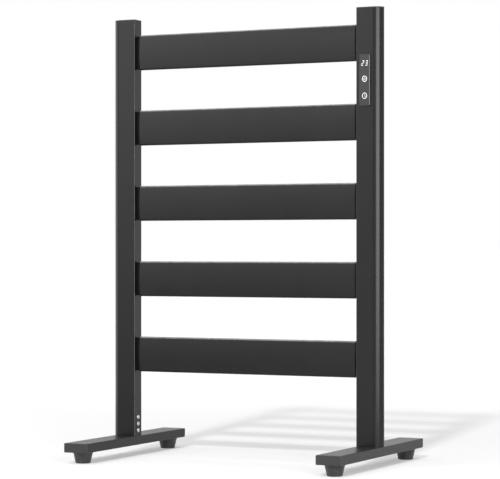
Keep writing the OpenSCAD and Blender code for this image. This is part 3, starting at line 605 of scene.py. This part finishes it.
def key_skin(name):
    """A round key with a soft rim and a shallow dish, on a flange and a stem."""
    node = f"{name}_key"
    low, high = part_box(node)
    centre = (low + high) / 2
    flange_r = (high.x - low.x) / 2
    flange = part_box("right_post")[0].y + SEAT
    front = low.y
    profile = [(STEM_HOLE, front + 0.12 * MM), (2.5 * MM, front + 0.1 * MM),
               (4.8 * MM, front + 0.04 * MM)]
    profile += [(KEY_RADIUS - inset, front + drop) for inset, drop in fillet(KEY_RIM)][::-1]
    profile += [(KEY_RADIUS, flange), (flange_r, flange), (flange_r, flange + KEY_FLANGE),
                (STEM_RADIUS, flange + KEY_FLANGE), (STEM_RADIUS, high.y), (STEM_HOLE, high.y)]
    bm = bmesh.new()
    turned(bm, profile, lambda x, z, y: Vector((centre.x + x, y, centre.z + z)))
    add_piece(f"{name}_key_skin", bm, node, "key_gloss", [node])
    return centre, front


def stroke(bm, centre, front, points, width, closed=False, thick=0.07 * MM):
    """A printed line of the given width along points (u, v), just proud of the key."""
    half = width / 2
    count = len(points)
    rings = []
    for k, point in enumerate(points):
        before = points[k - 1] if closed or k else points[k]
        after = points[(k + 1) % count] if closed or k < count - 1 else points[k]
        along = (Vector(after) - Vector(before)).normalized()
        across = Vector((-along.y, along.x)) * half
        u, v = Vector(point) + across, Vector(point) - across
        near, far = front - 0.02 * MM, front + thick
        rings.append([Vector((centre.x + q.x, y, centre.z + q.y))
                      for q, y in ((u, near), (v, near), (v, far), (u, far))])
    loft(bm, rings, closed)


def arc(radius, first, last, steps):
    """Points on an arc between two angles in degrees, anticlockwise."""
    turns = [math.radians(first + (last - first) * k / steps) for k in range(steps + 1)]
    return [Vector((radius * math.cos(t), radius * math.sin(t))) for t in turns]


RING_ACROSS = 4.75 * MM
RING_UP = 5.6 * MM
RING_STROKE = 1.15 * MM
SIGN_STROKE = 0.75 * MM


def key_print(name, strokes):
    """A ring and the sign inside it, printed in white on the key, with a painted glow from its
    finish.
    """
    centre, front = key_skin(name)
    bm = bmesh.new()
    ring = [Vector((u * RING_ACROSS, v * RING_UP)) for u, v in arc(1.0, 0, 360, 72)[:-1]]
    stroke(bm, centre, front, ring, RING_STROKE, closed=True)
    for points in strokes:
        stroke(bm, centre, front + SEAT, points, SIGN_STROKE, thick=0.1 * MM)
    add_piece(f"{name}_key_print", bm, f"{name}_key", "digit_light")


panel_bezel()
key_print("power", [
    arc(2.1 * MM, 130, 410, 32),
    [Vector((0, 0.6 * MM)), Vector((0, 3.0 * MM))],
])
key_print("timer", [
    [Vector((0, 3.4 * MM)), Vector((0, 0)), Vector((2.3 * MM, -2.2 * MM))],
])


# ---------------------------------------------------------------- floor, light and camera

def background_rays(tree):
    """One for the rays that see the white background: the camera's, and those of gloss and glass."""
    rays = tree.node("ShaderNodeLightPath").outputs
    mirrored = tree.math("MAXIMUM", rays["Is Glossy Ray"], rays["Is Transmission Ray"])
    return tree.math("MAXIMUM", rays["Is Camera Ray"], mirrored)


FLOOR_REACH = 300.0
FLOOR_SEEN = (0.6, 0.6, 0.6, 1.0)    # what the rays of background_rays see, lit by the lamps
FLOOR_GLOW = (0.35, 0.55)            # and what is added there, near the rack and far from it
GLOW_REACH = (0.3, 2.6)
# What the floor throws back on the rack: all round, on a patch behind it and beside its feet
FLOOR_DARK = (0.16, 0.16, 0.16, 1.0)
FLOOR_WHITE = (0.45, 0.45, 0.45, 1.0)
FLOOR_PALE = (0.8, 0.8, 0.8, 1.0)
PATCH_MIDDLE = (-0.15, 0.3, 0.0)
PATCH_REACH = (0.3, 0.6)
STRIP_REACH = (0.06, 0.12)


def studio_floor():
    """A wide pale floor that keeps the object's shadow and otherwise meets the white backdrop."""
    bm = bmesh.new()
    corners = ((-1, -1), (1, -1), (1, 1), (-1, 1))
    bm.faces.new([bm.verts.new((x * FLOOR_REACH, y * FLOOR_REACH, 0)) for x, y in corners])
    mesh = bpy.data.meshes.new("studio_floor")
    bm.to_mesh(mesh)
    bm.free()
    floor = bpy.data.objects.new("studio_floor", mesh)
    bpy.context.scene.collection.objects.link(floor)
    foot_low, foot_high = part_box("right_front_foot")
    foot_x, foot_y = (foot_low.x + foot_high.x) / 2, -(foot_low.y + foot_high.y) / 2
    material = bpy.data.materials.new("studio_floor_white")
    tree = Tree(material)
    seen = background_rays(tree)
    spot = tree.node("ShaderNodeTexCoord").outputs["Object"]
    aside = tree.node("ShaderNodeVectorMath", {"operation": "DISTANCE"}, i0=spot, i1=PATCH_MIDDLE)
    patch = tree.ramp(aside.outputs["Value"], *PATCH_REACH, 1.0, 0.0)
    bounce = tree.mix(patch, FLOOR_DARK, FLOOR_WHITE)
    parts = tree.node("ShaderNodeSeparateXYZ", Vector=spot).outputs
    beside = tree.math("SUBTRACT", tree.math("ABSOLUTE", parts["X"]), foot_x)
    beside = tree.ramp(tree.math("ABSOLUTE", beside), *STRIP_REACH, 1.0, 0.0)
    near, far = (foot_y + step for step in STRIP_REACH)
    along = tree.ramp(tree.math("ABSOLUTE", parts["Y"]), near, far, 1.0, 0.0)
    bounce = tree.mix(tree.math("MULTIPLY", beside, along), bounce, FLOOR_PALE)
    matt = tree.node("ShaderNodeBsdfDiffuse", Color=tree.mix(seen, bounce, FLOOR_SEEN))
    away = tree.node("ShaderNodeVectorMath", {"operation": "LENGTH"}, i0=spot)
    share = tree.ramp(away.outputs["Value"], *GLOW_REACH, *FLOOR_GLOW)
    share = tree.math("MULTIPLY", seen, share)
    glow = tree.node("ShaderNodeEmission", Color=(1.0, 1.0, 1.0, 1.0), Strength=share)
    both = tree.node("ShaderNodeAddShader", i0=matt.outputs[0], i1=glow.outputs[0])
    tree.node("ShaderNodeOutputMaterial", Surface=both.outputs[0])
    mesh.materials.append(material)


ROOM_LEVEL = 0.05
# The soft panel overhead: azimuth of its middle, half width, lower and upper edge and softness of
# the edges, all in degrees, and its strength. Azimuth 0 is in front of the rack, growing towards +X.
OVERHEAD = (0, 180, 64, 95, 12, 2.2)
# Soft boxes near the rack: x and y of the middle, width, share of the level at either end, and
# pairs of a height and the level there. One stands to the right of the front, one to its left, a
# narrow one in front and one at the left side. With the sun and the panel overhead they light a
# matt front at 1.2 to 1.4 times the plain level, and an open top at up to 1.9 times.
SOFT_BOXES = (
    (1.303, -1.183, 1.06, (1, 1), ((0.0, 2.7), (0.22, 4.3), (0.5, 5.8), (0.95, 6.5), (1.2, 6.5))),
    (-0.72, -1.15, 1.0, (1.12, 0.5), ((0.0, 0.0), (0.45, 0.75), (1.1, 2.0), (2.05, 3.4))),
    (-0.12, -1.02, 0.34, (1, 1), ((0.0, 0.35), (0.5, 0.25), (0.75, 0.4), (1.2, 1.0))),
    (-1.5, -0.05, 1.0, (1, 1), ((0.0, 0.8), (1.3, 0.8))),
)
# Azimuth, height and angle across in degrees, and strength
KEY_LIGHT = (10, 33, 4.5, 1.9)


def towards(azimuth, height):
    """Unit vector towards a point of the studio, both in degrees."""
    a, h = math.radians(azimuth), math.radians(height)
    return Vector((math.sin(a) * math.cos(h), -math.cos(a) * math.cos(h), math.sin(h)))


def panel_level(tree, azimuth, height, panel):
    """Strength of a soft panel of the room in a direction."""
    middle, half, lower, upper, soft = (math.radians(v) for v in panel[:5])
    aside = tree.math("SUBTRACT", azimuth, middle)
    aside = tree.node("ShaderNodeMath", {"operation": "WRAP"}, i0=aside, i1=math.pi, i2=-math.pi)
    aside = tree.math("ABSOLUTE", aside.outputs[0])
    across = tree.ramp(aside, half - soft / 2, half + soft / 2, panel[5], 0.0)
    above = tree.ramp(height, lower - soft / 2, lower + soft / 2, 0.0, 1.0)
    below = tree.ramp(height, upper - soft / 2, upper + soft / 2, 1.0, 0.0)
    return tree.math("MULTIPLY", across, tree.math("MULTIPLY", above, below))


def studio_world():
    """A dim room with a soft panel overhead. The camera, gloss and glass see it as plain white."""
    world = bpy.data.worlds.new("studio")
    bpy.context.scene.world = world
    tree = Tree(world)
    direction = tree.node("ShaderNodeTexCoord").outputs["Generated"]
    parts = tree.node("ShaderNodeSeparateXYZ", Vector=direction).outputs
    azimuth = tree.math("ARCTAN2", parts["X"], tree.math("MULTIPLY", parts["Y"], -1.0))
    height = tree.math("ARCSINE", parts["Z"])
    level = tree.math("ADD", ROOM_LEVEL, panel_level(tree, azimuth, height, OVERHEAD))
    room = tree.node("ShaderNodeBackground", Color=(1.0, 1.0, 1.0, 1.0), Strength=level)
    backdrop = tree.node("ShaderNodeBackground", Color=(1.0, 1.0, 1.0, 1.0), Strength=1.0)
    seen = background_rays(tree)
    both = tree.node("ShaderNodeMixShader", i0=seen, i1=room.outputs[0], i2=backdrop.outputs[0])
    tree.node("ShaderNodeOutputWorld", Surface=both.outputs[0])


def soft_boxes():
    """Large soft boxes near the rack, whose level changes with the height."""
    for number, (x, y, width, sides, levels) in enumerate(SOFT_BOXES, 1):
        low, high = levels[0][0], levels[-1][0]
        lamp = bpy.data.lights.new("soft_box_" + str(number), "AREA")
        lamp.shape = "RECTANGLE"
        lamp.size, lamp.size_y = width, high - low
        lamp.energy = math.pi * width * (high - low)
        tree = Tree(lamp)
        place = tree.node("ShaderNodeNewGeometry").outputs["Parametric"]
        place = tree.node("ShaderNodeSeparateXYZ", Vector=place).outputs
        level = tree.steps(tree.steps(place["Y"], ((0.0, low), (1.0, high))), levels)
        share = tree.steps(place["X"], ((0.0, sides[0]), (1.0, sides[1])))
        level = tree.math("MULTIPLY", level, share)
        glow = tree.node("ShaderNodeEmission", Color=(1.0, 1.0, 1.0, 1.0), Strength=level)
        tree.node("ShaderNodeOutputLight", Surface=glow.outputs[0])
        box = bpy.data.objects.new("soft_box_" + str(number), lamp)
        box.location = (x, y, (low + high) / 2)
        box.rotation_euler = Vector((x, y, 0)).to_track_quat("Z", "Y").to_euler()
        box.visible_camera = False
        bpy.context.scene.collection.objects.link(box)


def key_light():
    """A sun with a soft edge, from the front, for the shadow."""
    azimuth, height, across, strength = KEY_LIGHT
    lamp = bpy.data.lights.new("key", "SUN")
    lamp.energy = strength
    lamp.angle = math.radians(across)
    key = bpy.data.objects.new("key", lamp)
    key.rotation_euler = towards(azimuth, height).to_track_quat("Z", "Y").to_euler()
    bpy.context.scene.collection.objects.link(key)


def camera():
    """A long lens just below the rack's middle, level, 26 degrees round to the right."""
    data = bpy.data.cameras.new("camera")
    data.sensor_width = 36.0
    data.lens = 152.0
    data.shift_y = 0.0168
    data.clip_end = 1000.0
    made = bpy.data.objects.new("camera", data)
    made.location = (1.9438, -3.9251, 0.4422)
    made.rotation_euler = Euler((math.pi / 2, 0, math.radians(26.23)))
    bpy.context.scene.collection.objects.link(made)
    bpy.context.scene.camera = made


camera()
studio_floor()
studio_world()
soft_boxes()
key_light()
bpy.context.scene.view_settings.view_transform = "Standard"
